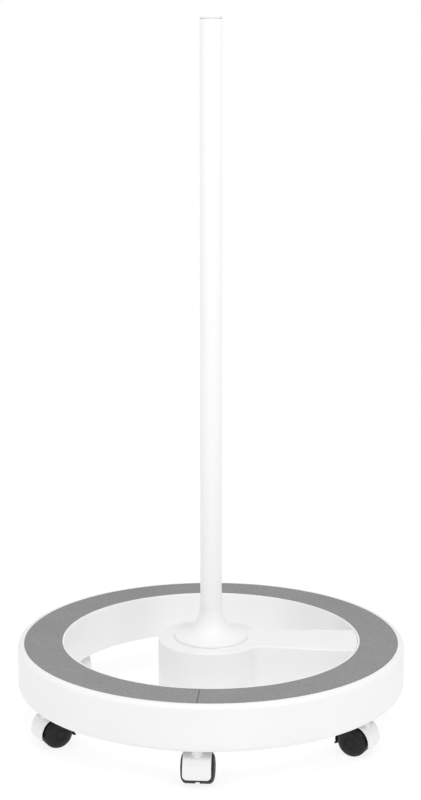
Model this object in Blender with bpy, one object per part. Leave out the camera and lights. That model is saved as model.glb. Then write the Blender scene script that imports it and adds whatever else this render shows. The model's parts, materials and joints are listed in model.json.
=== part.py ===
"""Rolling floor stand for an examination lamp: a weighted ring base on six castors, a hub with one arm,
and a pole.

The origin is on the floor under the pole's axis. +Z is up, and +X runs along the arm, from the hub to
the ring.
"""

import math

import bmesh
import bpy

TAU = 2 * math.pi
GAP = 0.0003                    # between pieces that touch
OVERRUN = 0.01                  # how far a cutter runs past the face that it opens

# Ring base
RING_OUTER_R = 0.250
RING_INNER_R = 0.190
RING_TOP_Z = 0.106
RING_BOTTOM_Z = 0.047
RING_WALL = 0.003
RING_TOP_ROUND = 0.0065         # radius of the outer top edge
RING_BOTTOM_ROUND = 0.008       # radius of the outer bottom edge
RING_EDGE = 0.0012              # bevel of the inner edges
INLAY_OUTER_R = 0.2417
INLAY_INNER_R = 0.1926
INLAY_THICKNESS = 0.003
INLAY_EDGE = 0.0006
INLAY_JOINT = 0.0008            # open joint between the two halves
PLATE_RECESS = 0.003            # the base plate lies this far above the ring's lower rim
PLATE_THICKNESS = 0.003
BOSS_CIRCLE_R = 0.216           # screw bosses between the castors
BOSS_R = 0.0055
BOSS_COUNT = 6
PILOT_R = 0.0018
PILOT_DEPTH = 0.014
SCREW_LENGTH = 0.015
SCREW_HEAD_R = 0.0040
SCREW_HEAD_HEIGHT = 0.0022
BALLAST_OUTER_R = 0.244
BALLAST_INNER_R = 0.1965
BALLAST_BOTTOM_Z = 0.080
BALLAST_TOP_Z = 0.098
BALLAST_EDGE = 0.002
BALLAST_CLEARANCE = 0.001       # to the screw bosses

# Hub and arm
HUB_R = 0.0685
HUB_BOTTOM_Z = 0.034
HUB_WALL = 0.004
HUB_BOSS_R = 0.016
HUB_EDGE = 0.0018               # bevel of the top edge
ARM_BOTTOM_Z = 0.050
ARM_HALF_WIDTH_AT_HUB = 0.034
ARM_HALF_WIDTH_AT_RING = 0.041
ARM_FILLET_R = 0.016            # concave corner between hub and arm
ARM_FULL_WIDTH_X = 0.158
ARM_END_WALL = 0.012
HUB_PLATE_Z = 0.043
HUB_PLATE_THICKNESS = 0.003
HUB_PLATE_CLEARANCE = 0.001     # to the hub's inner wall
ARM_BOLT_Y = 0.022
ARM_BOLT_Z = 0.066
ARM_BOLT_R = 0.003
ARM_BOLT_DEPTH = 0.009
ARM_BOLT_HEAD_R = 0.0050
ARM_BOLT_HEAD_HEIGHT = 0.0040
HEAD_CLEARANCE = 0.001          # round the bolt's head and past its tip

# Pole
POLE_R = 0.014
POLE_WALL = 0.0015
POLE_TOP_Z = 0.8910
BUSH_RIM = 0.002
BUSH_DEPTH = 0.060
BUSH_BORE_R = 0.0064
BUSH_EDGE = 0.0008
FOOT_PLUG_LENGTH = 0.044
FOOT_PLUG_EDGE = 0.002
FOOT_SPIGOT_R = 0.009
FOOT_SPIGOT_LENGTH = 0.020      # into the hub
POLE_BOLT_R = 0.005
POLE_BOLT_TOP_Z = 0.138
POLE_BOLT_HEAD_R = 0.0092       # across the corners of its hexagon
POLE_BOLT_HEAD_HEIGHT = 0.0058
WASHER_R = 0.011
WASHER_THICKNESS = 0.0015
COLLAR_HEIGHT = 0.039
COLLAR_RIM_R = 0.0475
COLLAR_RIM_HEIGHT = 0.0035
COLLAR_SLEEVE = 0.0006          # its thin top edge round the pole
COLLAR_EDGE = 0.001
COLLAR_THROAT = (0.0165, 0.020)     # radius and height to which the flare bends down from the pole
COLLAR_FLARE = (0.024, 0.008)       # and from which it runs out to the rim
COLLAR_HOLLOW_R = 0.0395        # the hollow underneath: where it starts,
COLLAR_HOLLOW_TOP = (0.020, 0.0085)     # radius and height of its shoulder,
COLLAR_HOLLOW_HEIGHT = 0.0125   # and its height at the pole

# Castors
CASTOR_SPACING = 58.5           # degrees between the three behind the arm's line, and the three before it
SWIVEL_CIRCLE_R = 0.2310
CASTOR_TRAIL = 0.009            # from the swivel axis back to the wheel axle
HOOD_HEADINGS = (38, 76, -45, -148.5, -90, -24.5)   # where each hood faces at rest, in degrees from +X
LOCKING_CASTORS = (4, 6)
WHEEL_R = 0.019
WHEEL_INNER_Y = 0.0026
WHEEL_OUTER_Y = 0.0204
SHOULDER_WIDTH = 0.0065         # the wheel's round outer shoulder, along the axle
SHOULDER_DEPTH = 0.010          # and towards the axle
WHEEL_INNER_EDGE = 0.0008
AXLE_R = 0.002
AXLE_HALF_LENGTH = 0.0127
HOOD_OUTER_R = 0.0237
HOOD_INNER_R = 0.0220
HOOD_HALF_WIDTH = 0.017
HOOD_FRONT_ANGLE = -18.5        # degrees above the axle's level, on the stem side
HOOD_TAIL_ANGLE = 136
WEB_HALF_THICKNESS = 0.0019
WEB_BOSS_R = 0.0065
WEB_KEEL_R = 0.0175             # the web's lower part, which closes the gap between the wheels
WEB_KEEL_START_ANGLE = 216
NECK_R = 0.007
NECK_TOP_Z = 0.0479
NECK_BOTTOM_Z = 0.0345          # inside the hood
STEM_R = 0.004
STEM_BOTTOM_Z = 0.0401
STEM_TOP_Z = 0.074
STEM_EDGE = 0.001
STEM_GROOVE_DEPTH = 0.0007      # for the socket's snap ring
STEM_GROOVE_WIDTH = 0.002
STEM_GROOVE_FROM_TOP = 0.007
SOCKET_R = 0.008
SOCKET_FLANGE_R = 0.0100
SOCKET_FLANGE = 0.0015
SOCKET_TOP_Z = 0.076
LEVER_START_ANGLE = 141
LEVER_END_ANGLE = 198
LEVER_HALF_WIDTH = 0.013
LEVER_LIP_R = 0.0258
LEVER_LIP_ANGLE = 4.5           # the lip's thickness, in degrees about the axle

# Facets around each kind of round piece
RING_STEPS = 48
POLE_STEPS = 24
WHEEL_STEPS = 16
SMALL_STEPS = 12

WHITE_SHELL = ("white_shell", (0.86, 0.86, 0.85), 0.42, 0.0)
WHITE_PAINT = ("white_paint", (0.87, 0.87, 0.86), 0.32, 0.0)
GREY_TREAD = ("grey_tread", (0.31, 0.31, 0.31), 0.85, 0.0)
BLACK_PLASTIC = ("black_plastic", (0.018, 0.018, 0.019), 0.45, 0.0)
BUSH_PLASTIC = ("bush_plastic", (0.80, 0.80, 0.79), 0.5, 0.0)
CAST_IRON = ("cast_iron", (0.10, 0.10, 0.11), 0.75, 1.0)
ZINC_STEEL = ("zinc_steel", (0.58, 0.58, 0.60), 0.32, 1.0)


# ---------------------------------------------------------------- helpers

def clear_scene():
    for obj in list(bpy.data.objects):
        bpy.data.objects.remove(obj, do_unlink=True)


def material(spec):
    name, colour, roughness, metallic = spec
    found = bpy.data.materials.get(name)
    if found:
        return found
    made = bpy.data.materials.new(name)
    made.use_nodes = True
    shader = made.node_tree.nodes["Principled BSDF"]
    shader.inputs["Base Color"].default_value = (*colour, 1.0)
    shader.inputs["Roughness"].default_value = roughness
    shader.inputs["Metallic"].default_value = metallic
    made.diffuse_color = (*colour, 1.0)
    return made


def mesh_from(bm, name):
    """The finished mesh, with merged points, faces out and round parts shaded smooth."""
    bmesh.ops.remove_doubles(bm, verts=bm.verts, dist=1e-6)
    bmesh.ops.recalc_face_normals(bm, faces=bm.faces)
    mesh = bpy.data.meshes.new(name)
    bm.to_mesh(mesh)
    bm.free()
    mesh.shade_smooth()
    mesh.set_sharp_from_angle(angle=math.radians(35))
    return mesh


def place(name, mesh, spec, parent=None):
    obj = bpy.data.objects.new(name, mesh)
    bpy.context.scene.collection.objects.link(obj)
    if not mesh.materials:
        mesh.materials.append(material(spec))
    obj.parent = parent
    return obj


def arc(centre, radius, start, end, steps):
    """Points on an arc, from start to end in degrees."""
    angles = [math.radians(start + (end - start) * i / steps) for i in range(steps + 1)]
    return [(centre[0] + radius * math.cos(a), centre[1] + radius * math.sin(a)) for a in angles]


def bezier(p0, p1, p2, p3, steps):
    points = []
    for i in range(steps + 1):
        t = i / steps
        weights = ((1 - t) ** 3, 3 * t * (1 - t) ** 2, 3 * t * t * (1 - t), t ** 3)
        points.append(tuple(sum(w * p[k] for w, p in zip(weights, (p0, p1, p2, p3))) for k in (0, 1)))
    return points


def turned(name, profile, steps, start=0.0, sweep=TAU):
    """A solid turned about Z from a closed (radius, z) outline. Less than a full sweep gets two flat ends."""
    bm = bmesh.new()
    full = sweep > TAU - 1e-6
    rings = []
    for i in range(steps if full else steps + 1):
        a = start + sweep * i / steps
        rings.append([bm.verts.new((r * math.cos(a), r * math.sin(a), z)) for r, z in profile])
    for i in range(steps):
        near, far = rings[i], rings[(i + 1) % len(rings)]
        for k in range(len(profile)):
            j = (k + 1) % len(profile)
            if profile[k][0] < 1e-6 and profile[j][0] < 1e-6:
                continue
            bm.faces.new((near[k], far[k], far[j], near[j]))
    if not full:
        bm.faces.new(rings[0])
        bm.faces.new(rings[-1])
    return mesh_from(bm, name)


def cylinder_mesh(name, radius, low, high, steps=SMALL_STEPS):
    """A cylinder about Z, turned by half a facet so that no corner falls on the ring's own edges."""
    return turned(name, [(0, low), (radius, low), (radius, high), (0, high)], steps, math.pi / steps)


def extruded(name, outline, low, high, top_bevel=0.0):
    """An (x, y) outline raised from low to high, with an optional bevel round its top."""
    bm = bmesh.new()
    base = bm.faces.new([bm.verts.new((x, y, low)) for x, y in outline])
    raised = bmesh.ops.extrude_face_region(bm, geom=[base])["geom"]
    lid_points = [v for v in raised if isinstance(v, bmesh.types.BMVert)]
    bmesh.ops.translate(bm, vec=(0, 0, high - low), verts=lid_points)
    if top_bevel:
        rim = [e for e in bm.edges if all(abs(v.co.z - high) < 1e-7 for v in e.verts)]
        bmesh.ops.bevel(bm, geom=rim, offset=top_bevel, segments=2, profile=0.5, affect="EDGES")
    return mesh_from(bm, name)


def boolean(target, tool, operation):
    modifier = target.modifiers.new(f"{operation.lower()}_{tool.name}", "BOOLEAN")
    modifier.operation = operation
    modifier.solver = "EXACT"
    modifier.object = tool
    tool.hide_render = True
    tool.display_type = "WIRE"


def cut(target, tool):
    boolean(target, tool, "DIFFERENCE")


def join(target, tool):
    boolean(target, tool, "UNION")


def guide(name, mesh, location=(0, 0, 0), rotation=(0, 0, 0)):
    """A shape that only cuts or joins another piece."""
    obj = bpy.data.objects.new(name, mesh)
    bpy.context.scene.collection.objects.link(obj)
    obj.location = location
    obj.rotation_euler = rotation
    return obj


def finished_mesh(obj, guides, name):
    """The mesh of obj with its modifiers applied. obj and its guides are removed."""
    bpy.context.view_layer.update()
    evaluated = obj.evaluated_get(bpy.context.evaluated_depsgraph_get())
    mesh = bpy.data.meshes.new_from_object(evaluated)
    mesh.name = name
    mesh.shade_smooth()
    mesh.set_sharp_from_angle(angle=math.radians(35))
    for gone in (obj, *guides):
        bpy.data.objects.remove(gone, do_unlink=True)
    return mesh


def on_circle(radius, degrees, z=0.0):
    a = math.radians(degrees)
    return (radius * math.cos(a), radius * math.sin(a), z)


# ---------------------------------------------------------------- ring base

def boss_angles():
    return [360 / BOSS_COUNT * i for i in range(BOSS_COUNT)]


def castor_angles():
    return [middle + CASTOR_SPACING * step for middle in (90, 270) for step in (-1, 0, 1)]


def ring_shell():
    outer, inner, wall, edge = RING_OUTER_R, RING_INNER_R, RING_WALL, RING_EDGE
    top, bottom = RING_TOP_Z, RING_BOTTOM_Z
    groove = top - INLAY_THICKNESS - GAP
    roof = groove - wall
    round_top, round_bottom = RING_TOP_ROUND, RING_BOTTOM_ROUND
    profile = [(INLAY_OUTER_R, groove), (INLAY_OUTER_R, top)]
    profile += arc((outer - round_top, top - round_top), round_top, 90, 0, 3)
    profile += arc((outer - round_bottom, bottom + round_bottom), round_bottom, 0, -90, 3)
    profile += [(outer - round_bottom, bottom + wall), (outer - wall, bottom + round_bottom)]
    profile += [(outer - wall, roof), (inner + wall, roof), (inner + wall, bottom)]
    profile += [(inner + edge, bottom), (inner, bottom + edge)]
    profile += [(inner, top - edge), (inner + edge, top), (INLAY_INNER_R, top), (INLAY_INNER_R, groove)]
    shell = place("ring_shell", turned("ring_shell", profile, RING_STEPS), WHITE_SHELL)
    plate_top = bottom + PLATE_RECESS + PLATE_THICKNESS
    post = cylinder_mesh("boss_post", BOSS_R, plate_top + GAP, roof + wall / 2)
    pilot = cylinder_mesh("boss_pilot", PILOT_R, plate_top - wall, plate_top + PILOT_DEPTH, 8)
    for i, angle in enumerate(boss_angles()):
        place_at = on_circle(BOSS_CIRCLE_R, angle)
        join(shell, guide(f"boss_post_{i + 1}", post, place_at))
        cut(shell, guide(f"boss_pilot_{i + 1}", pilot, place_at))
    bolt_path = cylinder_mesh("arm_bolt_path", ARM_BOLT_R, -OVERRUN, OVERRUN, 8)
    for side in (-1, 1):
        name = f"arm_bolt_path_{'right' if side < 0 else 'left'}"
        cut(shell, guide(name, bolt_path, (inner, side * ARM_BOLT_Y, ARM_BOLT_Z), (0, math.pi / 2, 0)))


def base_plate():
    low = RING_BOTTOM_Z + PLATE_RECESS
    high = low + PLATE_THICKNESS
    inner = RING_INNER_R + RING_WALL + GAP
    outer = RING_OUTER_R - RING_BOTTOM_ROUND - GAP
    profile = [(inner, low), (outer, low), (outer, high), (inner, high)]
    plate = place("base_plate", turned("base_plate", profile, RING_STEPS), ZINC_STEEL)
    socket_hole = cylinder_mesh("socket_hole", SOCKET_R + GAP, low - OVERRUN, high + OVERRUN)
    screw_hole = cylinder_mesh("screw_hole", PILOT_R + GAP, low - OVERRUN, high + OVERRUN, 8)
    for i, angle in enumerate(castor_angles()):
        cut(plate, guide(f"socket_hole_{i + 1}", socket_hole, on_circle(SWIVEL_CIRCLE_R, angle)))
    for i, angle in enumerate(boss_angles()):
        cut(plate, guide(f"screw_hole_{i + 1}", screw_hole, on_circle(BOSS_CIRCLE_R, angle)))


def plate_screws():
    seat = RING_BOTTOM_Z + PLATE_RECESS - GAP
    head_r, head_low = SCREW_HEAD_R, seat - SCREW_HEAD_HEIGHT
    shank_r, tip = PILOT_R - GAP, seat + SCREW_LENGTH
    profile = [(0, head_low), (head_r / 2, head_low), (head_r, (head_low + seat) / 2), (head_r, seat)]
    profile += [(shank_r, seat), (shank_r, tip - shank_r), (0, tip)]
    mesh = turned("plate_screw", profile, SMALL_STEPS)
    for i, angle in enumerate(boss_angles()):
        place(f"plate_screw_{i + 1}", mesh, ZINC_STEEL).location = on_circle(BOSS_CIRCLE_R, angle)


def ballast_ring():
    low, high, edge = BALLAST_BOTTOM_Z, BALLAST_TOP_Z, BALLAST_EDGE
    inner, outer = BALLAST_INNER_R, BALLAST_OUTER_R
    profile = [(inner, low), (outer, low), (outer, high - edge), (outer - edge, high), (inner, high)]
    ring = place("ballast_ring", turned("ballast_ring", profile, RING_STEPS), CAST_IRON)
    hole = cylinder_mesh("ballast_hole", BOSS_R + BALLAST_CLEARANCE, low - OVERRUN, high + OVERRUN)
    for i, angle in enumerate(boss_angles()):
        cut(ring, guide(f"ballast_hole_{i + 1}", hole, on_circle(BOSS_CIRCLE_R, angle)))


def tread_inlays():
    low, high = RING_TOP_Z - INLAY_THICKNESS, RING_TOP_Z
    inner, outer, edge = INLAY_INNER_R + GAP, INLAY_OUTER_R - GAP, INLAY_EDGE
    profile = [(inner, low), (outer, low), (outer, high - edge), (outer - edge, high)]
    profile += [(inner + edge, high), (inner, high - edge)]
    joint_angle = INLAY_JOINT / (inner + outer)
    sweep = math.pi - 2 * joint_angle
    for name, middle in (("inlay_right", 0.0), ("inlay_left", math.pi)):
        mesh = turned(name, profile, RING_STEPS // 2, middle - sweep / 2, sweep)
        place(name, mesh, GREY_TREAD)


# ---------------------------------------------------------------- hub and arm

def arm_half_width(x, start_x):
    """Half the arm's width at x: it widens smoothly from the hub to the ring."""
    t = min(1.0, max(0.0, (x - start_x) / (ARM_FULL_WIDTH_X - start_x)))
    blend = t * t * (3 - 2 * t)
    return ARM_HALF_WIDTH_AT_HUB + (ARM_HALF_WIDTH_AT_RING - ARM_HALF_WIDTH_AT_HUB) * blend


def fillet_centre():
    """The centre of the concave corner that touches the hub's circle and the arm's left side."""
    centre_y = ARM_HALF_WIDTH_AT_HUB + ARM_FILLET_R
    return math.sqrt((HUB_R + ARM_FILLET_R) ** 2 - centre_y ** 2), centre_y


def hub_meets_arm():
    """The angle, in degrees from +X, at which the hub's circle runs into the corner."""
    centre_x, centre_y = fillet_centre()
    return math.degrees(math.atan2(centre_y, centre_x))


def hub_outline(inset=0.0, end_inset=0.0):
    """The plan of hub and arm, anticlockwise from the arm's end. inset moves the line inwards."""
    hub_r, fillet_r = HUB_R - inset, ARM_FILLET_R + inset
    centre_x, centre_y = fillet_centre()
    meet = hub_meets_arm()
    end_r = RING_INNER_R * math.cos(math.pi / RING_STEPS) - GAP - end_inset
    half_end = ARM_HALF_WIDTH_AT_RING - inset
    end_angle = math.degrees(math.asin(half_end / end_r))
    end_x = end_r * math.cos(math.radians(end_angle))
    side = []
    for i in range(1, 6):
        x = centre_x + (end_x - centre_x) * i / 6
        side.append((x, arm_half_width(x, centre_x) - inset))
    left = arc((0, 0), end_r, 0, end_angle, 3)[1:] + side[::-1]
    left += arc((centre_x, centre_y), fillet_r, -90, meet - 180, 4)
    left += arc((0, 0), hub_r, meet, 180, 12)[1:]
    right = [(x, -y) for x, y in left[:-1]][::-1]
    return left + right + [(end_r, 0.0)]


def hub_arm():
    block = extruded("hub_arm", hub_outline(), HUB_BOTTOM_Z, RING_TOP_Z, HUB_EDGE)
    body = place("hub_arm", block, WHITE_SHELL)
    beyond_ring, skirt_clearance = 1.2 * RING_INNER_R, 0.0001
    under = arc((0, 0), HUB_R + skirt_clearance, -hub_meets_arm(), hub_meets_arm(), 8)
    under += arc((0, 0), beyond_ring, hub_meets_arm(), -hub_meets_arm(), 4)
    cut(body, guide("under_arm", extruded("under_arm", under, HUB_BOTTOM_Z - OVERRUN, ARM_BOTTOM_Z)))
    hollow_outline = hub_outline(HUB_WALL, ARM_END_WALL)
    hollow = extruded("hub_hollow", hollow_outline, HUB_BOTTOM_Z - OVERRUN, RING_TOP_Z - HUB_WALL)
    cut(body, guide("hub_hollow", hollow))
    plate_top = HUB_PLATE_Z + HUB_PLATE_THICKNESS
    boss = cylinder_mesh("hub_boss", HUB_BOSS_R, plate_top + GAP, RING_TOP_Z - HUB_WALL / 2, 16)
    join(body, guide("hub_boss", boss))
    spigot_bottom = RING_TOP_Z - FOOT_SPIGOT_LENGTH
    spigot_hole = cylinder_mesh("spigot_hole", FOOT_SPIGOT_R + GAP, spigot_bottom, RING_TOP_Z + OVERRUN, 16)
    cut(body, guide("spigot_hole", spigot_hole))
    bolt_hole = cylinder_mesh("pole_bolt_hole", POLE_BOLT_R + GAP, plate_top - OVERRUN, spigot_bottom + GAP)
    cut(body, guide("pole_bolt_hole", bolt_hole))
    thread = cylinder_mesh("arm_thread", ARM_BOLT_R, -ARM_BOLT_DEPTH, OVERRUN, 8)
    for side in (-1, 1):
        name = f"arm_thread_{'right' if side < 0 else 'left'}"
        end_x = math.sqrt(RING_INNER_R ** 2 - ARM_BOLT_Y ** 2)
        cut(body, guide(name, thread, (end_x, side * ARM_BOLT_Y, ARM_BOLT_Z), (0, math.pi / 2, 0)))


def hub_plate():
    low, high = HUB_PLATE_Z, HUB_PLATE_Z + HUB_PLATE_THICKNESS
    hole_r = POLE_BOLT_R + GAP
    outer = HUB_R - HUB_WALL - HUB_PLATE_CLEARANCE
    profile = [(hole_r, low), (outer, low), (outer, high), (hole_r, high)]
    place("hub_plate", turned("hub_plate", profile, POLE_STEPS), ZINC_STEEL)


def arm_bolts():
    shank_r = ARM_BOLT_R - GAP
    head_r, head_height = ARM_BOLT_HEAD_R, ARM_BOLT_HEAD_HEIGHT
    nearest_y = ARM_BOLT_Y - ARM_BOLT_HEAD_R - HEAD_CLEARANCE
    wall_x = math.sqrt((RING_INNER_R + RING_WALL) ** 2 - nearest_y ** 2) + GAP
    tip_x = math.sqrt(RING_INNER_R ** 2 - ARM_BOLT_Y ** 2) - ARM_BOLT_DEPTH + HEAD_CLEARANCE
    low, point = tip_x - wall_x, shank_r / 4
    profile = [(0, low), (shank_r - point, low), (shank_r, low + point), (shank_r, 0)]
    profile += [(head_r, 0), (head_r, head_height), (0, head_height)]
    mesh = turned("arm_bolt", profile, SMALL_STEPS)
    for side, name in ((-1, "arm_bolt_right"), (1, "arm_bolt_left")):
        bolt = place(name, mesh, ZINC_STEEL)
        bolt.location = (wall_x, side * ARM_BOLT_Y, ARM_BOLT_Z)
        bolt.rotation_euler = (0, math.pi / 2, 0)


# ---------------------------------------------------------------- pole

def pole_tube():
    low, high = RING_TOP_Z + GAP, POLE_TOP_Z
    inner = POLE_R - POLE_WALL
    profile = [(inner, low), (POLE_R, low), (POLE_R, high), (inner, high)]
    place("pole_tube", turned("pole_tube", profile, POLE_STEPS), WHITE_PAINT)


def pole_collar():
    base = RING_TOP_Z + GAP
    bore = POLE_R + GAP
    rim_top, top = base + COLLAR_RIM_HEIGHT, base + COLLAR_HEIGHT
    throat_r, throat_height = COLLAR_THROAT
    flare_r, flare_height = COLLAR_FLARE
    shoulder_r, shoulder_height = COLLAR_HOLLOW_TOP
    profile = bezier((bore + COLLAR_SLEEVE, top), (throat_r, base + throat_height),
                     (flare_r, base + flare_height), (COLLAR_RIM_R - COLLAR_EDGE, rim_top), 8)
    profile += [(COLLAR_RIM_R, rim_top - COLLAR_EDGE), (COLLAR_RIM_R, base), (COLLAR_HOLLOW_R, base)]
    profile += [(shoulder_r, base + shoulder_height), (bore, base + COLLAR_HOLLOW_HEIGHT), (bore, top)]
    place("pole_collar", turned("pole_collar", profile, POLE_STEPS), WHITE_SHELL)


def pole_foot():
    low = RING_TOP_Z + GAP
    spigot_low = RING_TOP_Z - FOOT_SPIGOT_LENGTH + GAP
    high = low + FOOT_PLUG_LENGTH
    plug_r, edge = POLE_R - POLE_WALL - GAP, FOOT_PLUG_EDGE
    thread_r = POLE_BOLT_R + GAP
    profile = [(thread_r, spigot_low), (FOOT_SPIGOT_R, spigot_low), (FOOT_SPIGOT_R, low), (plug_r, low)]
    profile += [(plug_r, high - edge), (plug_r - edge, high), (thread_r, high)]
    place("pole_foot", turned("pole_foot", profile, POLE_STEPS), ZINC_STEEL)


def pole_bolt_and_washer():
    washer_top = HUB_PLATE_Z - GAP
    washer_low = washer_top - WASHER_THICKNESS
    hole_r = POLE_BOLT_R + GAP
    washer = [(hole_r, washer_low), (WASHER_R, washer_low), (WASHER_R, washer_top), (hole_r, washer_top)]
    place("pole_washer", turned("pole_washer", washer, POLE_STEPS), ZINC_STEEL)
    seat = washer_low - GAP
    head_low = seat - POLE_BOLT_HEAD_HEIGHT
    bolt = place("pole_bolt", cylinder_mesh("pole_bolt", POLE_BOLT_HEAD_R, head_low, seat, 6), ZINC_STEEL)
    inside_head, point = (head_low + seat) / 2, POLE_BOLT_R / 5
    shank = [(0, inside_head), (POLE_BOLT_R, inside_head), (POLE_BOLT_R, POLE_BOLT_TOP_Z - point)]
    shank += [(POLE_BOLT_R - point, POLE_BOLT_TOP_Z), (0, POLE_BOLT_TOP_Z)]
    join(bolt, guide("pole_bolt_shank", turned("pole_bolt_shank", shank, SMALL_STEPS)))


def top_bush():
    seat = POLE_TOP_Z + GAP
    top, low = seat + BUSH_RIM, seat - BUSH_DEPTH
    sleeve_r, edge = POLE_R - POLE_WALL - GAP, BUSH_EDGE
    profile = [(BUSH_BORE_R, low), (sleeve_r, low), (sleeve_r, seat), (POLE_R, seat), (POLE_R, top - edge)]
    profile += [(POLE_R - edge, top), (BUSH_BORE_R + edge, top), (BUSH_BORE_R, top - edge)]
    place("top_bush", turned("top_bush", profile, POLE_STEPS), BUSH_PLASTIC)


# ---------------------------------------------------------------- castors
# A castor is drawn with its swivel axis at the origin on the floor and its hood facing +X.

def side_plate(name, outline, half_thickness):
    """An (x, z) outline in the castor's side view, made half_thickness thick on both sides of its middle."""
    bm = bmesh.new()
    face = bm.faces.new([bm.verts.new((x, -half_thickness, z)) for x, z in outline])
    raised = bmesh.ops.extrude_face_region(bm, geom=[face])["geom"]
    points = [v for v in raised if isinstance(v, bmesh.types.BMVert)]
    bmesh.ops.translate(bm, vec=(0, 2 * half_thickness, 0), verts=points)
    return mesh_from(bm, name)


def around_axle(inner_r, outer_r, start, end, steps):
    """The side view of a band that is bent around the axle."""
    axle = (-CASTOR_TRAIL, WHEEL_R)
    return arc(axle, outer_r, start, end, steps) + arc(axle, inner_r, end, start, steps)


def hood_mesh():
    band = side_plate("hood", around_axle(HOOD_INNER_R, HOOD_OUTER_R, HOOD_FRONT_ANGLE, HOOD_TAIL_ANGLE, 10),
                      HOOD_HALF_WIDTH)
    hood = guide("hood_band", band)
    axle = (-CASTOR_TRAIL, WHEEL_R)
    reach, inset = (HOOD_INNER_R + HOOD_OUTER_R) / 2, 2
    web_outline = arc(axle, reach, HOOD_FRONT_ANGLE + inset, HOOD_TAIL_ANGLE - inset, 10)
    web_outline += arc(axle, WEB_BOSS_R, HOOD_TAIL_ANGLE, WEB_KEEL_START_ANGLE, 4)
    web_outline += arc(axle, WEB_KEEL_R, WEB_KEEL_START_ANGLE, HOOD_FRONT_ANGLE + 360, 6)
    web = guide("hood_web", side_plate("hood_web", web_outline, WEB_HALF_THICKNESS))
    neck = guide("hood_neck", cylinder_mesh("hood_neck", NECK_R, NECK_BOTTOM_Z, NECK_TOP_Z))
    round_axle = arc(axle, HOOD_INNER_R, 0, 360, 24)[:-1]
    under_hood = guide("under_hood", side_plate("under_hood", round_axle, HOOD_HALF_WIDTH + OVERRUN))
    bore_low, bore_high = STEM_BOTTOM_Z - GAP, NECK_TOP_Z + OVERRUN
    stem_bore = guide("stem_bore", cylinder_mesh("stem_bore", STEM_R + GAP, bore_low, bore_high))
    axle_bore = guide("axle_bore", cylinder_mesh("axle_bore", AXLE_R + GAP, -OVERRUN, OVERRUN, 8))
    axle_bore.location = (axle[0], 0, axle[1])
    axle_bore.rotation_euler = (math.pi / 2, 0, 0)
    cut(neck, under_hood)
    join(hood, neck)
    join(hood, web)
    cut(hood, stem_bore)
    cut(hood, axle_bore)
    return finished_mesh(hood, (web, neck, under_hood, stem_bore, axle_bore), "castor_hood")


def wheel_mesh():
    """A wheel turned about Z, its outer face up; flats face down at rest, so that it stands on one."""
    outer_r = WHEEL_R / math.cos(math.pi / WHEEL_STEPS)
    shoulder = []
    for i in range(5):
        a = math.radians(90 * i / 4)
        radial = outer_r - SHOULDER_DEPTH * (1 - math.cos(a))
        shoulder.append((radial, WHEEL_OUTER_Y - SHOULDER_WIDTH * (1 - math.sin(a))))
    bore_r, bore_end = AXLE_R + GAP, AXLE_HALF_LENGTH + GAP
    inner_y, edge = WHEEL_INNER_Y, WHEEL_INNER_EDGE
    profile = [(bore_r, inner_y), (outer_r - edge, inner_y), (outer_r, inner_y + edge)]
    profile += shoulder + [(0, WHEEL_OUTER_Y), (0, bore_end), (bore_r, bore_end)]
    return turned("castor_wheel", profile, WHEEL_STEPS, math.pi / WHEEL_STEPS)


def stem_mesh():
    low, high, edge = STEM_BOTTOM_Z, STEM_TOP_Z, STEM_EDGE
    groove_low, groove_r = high - STEM_GROOVE_FROM_TOP, STEM_R - STEM_GROOVE_DEPTH
    groove_high = groove_low + STEM_GROOVE_WIDTH
    profile = [(0, low), (STEM_R, low), (STEM_R, groove_low), (groove_r, groove_low), (groove_r, groove_high)]
    profile += [(STEM_R, groove_high), (STEM_R, high - edge), (STEM_R - edge, high), (0, high)]
    return turned("castor_stem", profile, SMALL_STEPS)


def socket_mesh():
    seat = RING_BOTTOM_Z + PLATE_RECESS - GAP
    low = seat - SOCKET_FLANGE
    bore = STEM_R + GAP
    profile = [(bore, low), (SOCKET_FLANGE_R, low), (SOCKET_FLANGE_R, seat), (SOCKET_R, seat)]
    profile += [(SOCKET_R, SOCKET_TOP_Z), (bore, SOCKET_TOP_Z)]
    return turned("castor_socket", profile, SMALL_STEPS)


def lever_mesh():
    """Lock lever: a band behind the wheels with a lip, on a rib that turns about the web's round boss."""
    start, end, lip_end = LEVER_START_ANGLE, LEVER_END_ANGLE, LEVER_END_ANGLE - 0.5
    rib_inset, overlap = 3, 0.001
    band_outline = around_axle(HOOD_INNER_R + GAP, HOOD_OUTER_R, start, end, 4)
    band = guide("lever_band", side_plate("lever_band", band_outline, LEVER_HALF_WIDTH))
    lip_outline = around_axle(HOOD_OUTER_R - overlap, LEVER_LIP_R, lip_end - LEVER_LIP_ANGLE, lip_end, 1)
    lip = guide("lever_lip", side_plate("lever_lip", lip_outline, LEVER_HALF_WIDTH - overlap))
    rib_outline = around_axle(WEB_BOSS_R + GAP, HOOD_INNER_R + overlap, start + rib_inset, end - rib_inset, 4)
    rib = guide("lever_rib", side_plate("lever_rib", rib_outline, WEB_HALF_THICKNESS))
    join(band, lip)
    join(band, rib)
    return finished_mesh(band, (lip, rib), "lock_lever")


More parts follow.
